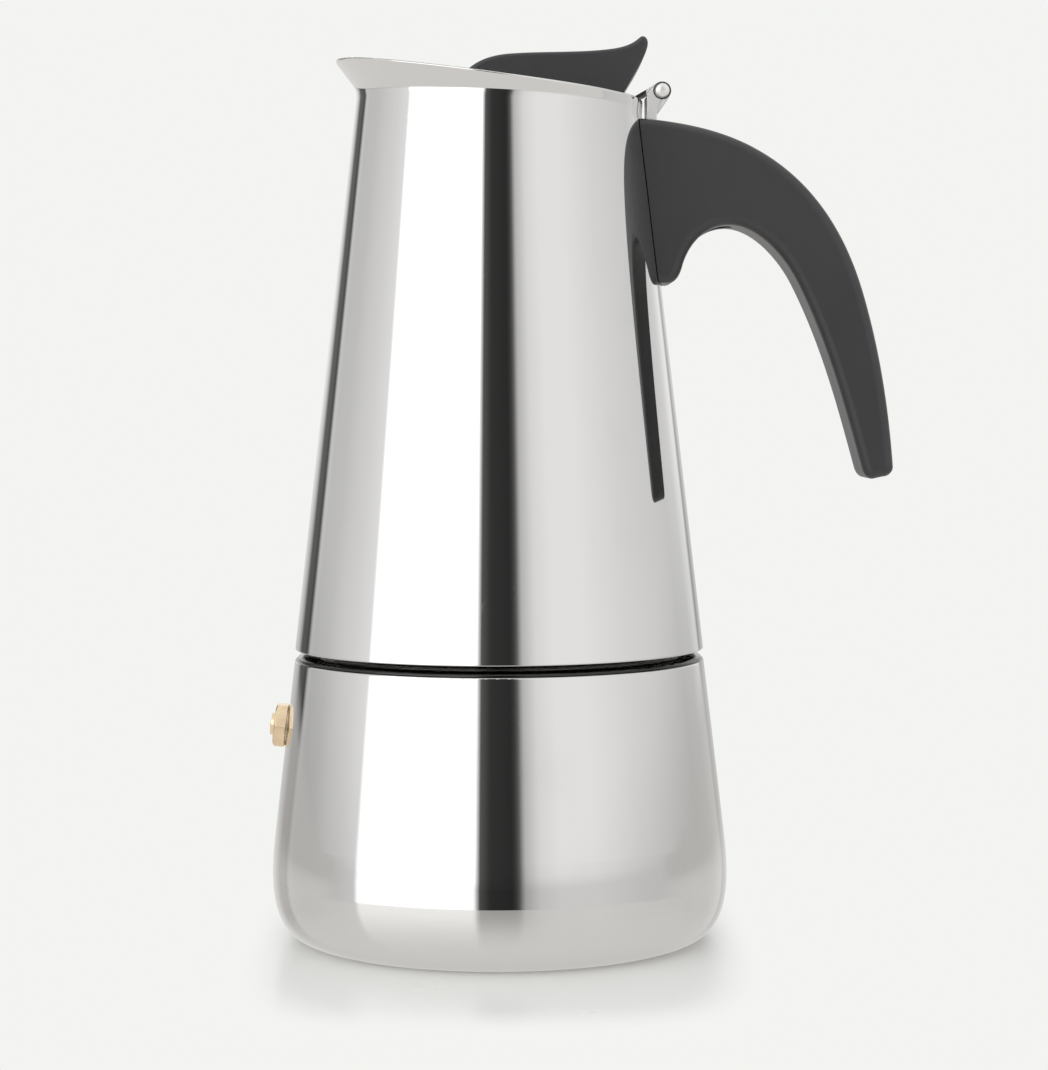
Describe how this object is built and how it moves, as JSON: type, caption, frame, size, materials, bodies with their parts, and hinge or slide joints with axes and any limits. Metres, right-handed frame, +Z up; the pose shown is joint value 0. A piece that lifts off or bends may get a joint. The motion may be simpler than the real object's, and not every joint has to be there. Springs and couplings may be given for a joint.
{
  "type": "moka pot",
  "caption": "Stovetop moka pot: tapered polished steel jug screwed on a water chamber, with coffee funnel, filter, hinged lid, curved black handle and safety valve.",
  "frame": {"origin": "centre of the base's underside, on the surface that the pot stands on", "axes": "+Z up, +X towards the handle and lid hinge, -X towards spout and safety valve"},
  "size_m": [0.1369, 0.1, 0.197],
  "materials": {
    "polished_steel": "mirror-polished stainless steel",
    "satin_steel": "plain drawn stainless steel, satin",
    "valve_brass": "turned brass",
    "washer_fibre": "red-brown sealing fibre",
    "silicone": "white food-grade silicone",
    "black_nylon": "satin black moulding"
  },
  "bodies": {
    "boiler": {"boiler_shell": "polished_steel", "valve_body": "valve_brass", "valve_washer": "washer_fibre", "valve_nut": "valve_brass", "valve_spring": "satin_steel"},
    "relief": {"valve_pin": "valve_brass"},
    "funnel": {"funnel_cup": "satin_steel", "funnel_stem": "satin_steel", "funnel_plate": "satin_steel"},
    "upper_filter": {"filter_plate": "satin_steel"},
    "seal": {"gasket": "silicone"},
    "jug": {"jug_shell": "polished_steel", "jug_floor": "satin_steel", "thread_collar": "satin_steel", "column": "satin_steel", "column_cap": "satin_steel", "handle_bracket": "polished_steel", "hinge_pin": "polished_steel", "handle": "black_nylon", "handle_screw": "satin_steel"},
    "lid": {"lid_plate": "polished_steel", "lid_knuckle": "polished_steel", "lid_knob": "black_nylon", "knob_screw": "satin_steel"}
  },
  "joints": [
    {"name": "jug_lift", "type": "slide", "parent": "boiler", "child": "upper_filter", "axis": [0, 0, 1], "range_m": [0, 0.13]},
    {"name": "thread_rise", "type": "slide", "parent": "upper_filter", "child": "seal", "axis": [0, 0, 1], "range_m": [0, 0.0045]},
    {"name": "jug_unscrew", "type": "hinge", "parent": "seal", "child": "jug", "pos_m": [0, 0, 0.0768], "axis": [0, 0, 1], "range_deg": [0, 540]},
    {"name": "lid_hinge", "type": "hinge", "parent": "jug", "child": "lid", "pos_m": [0.036, 0, 0.1853], "axis": [0, 1, 0], "range_deg": [0, 110]},
    {"name": "funnel_lift", "type": "slide", "parent": "boiler", "child": "funnel", "axis": [0, 0, 1], "range_m": [0, 0.072]},
    {"name": "valve_relief", "type": "slide", "parent": "boiler", "child": "relief", "axis": [-0.9934, 0, 0.1146], "range_m": [0, 0.0015], "stiffness_N_per_m": 900, "springref_m": -0.001, "deforming": ["valve_spring"]}
  ],
  "couplings": [
    {"joint": "thread_rise", "follows": "jug_unscrew", "m_per_rad": 0.00047746},
    {"joint": "funnel_lift", "follows": "jug_lift", "ratio": 0.55}
  ]
}
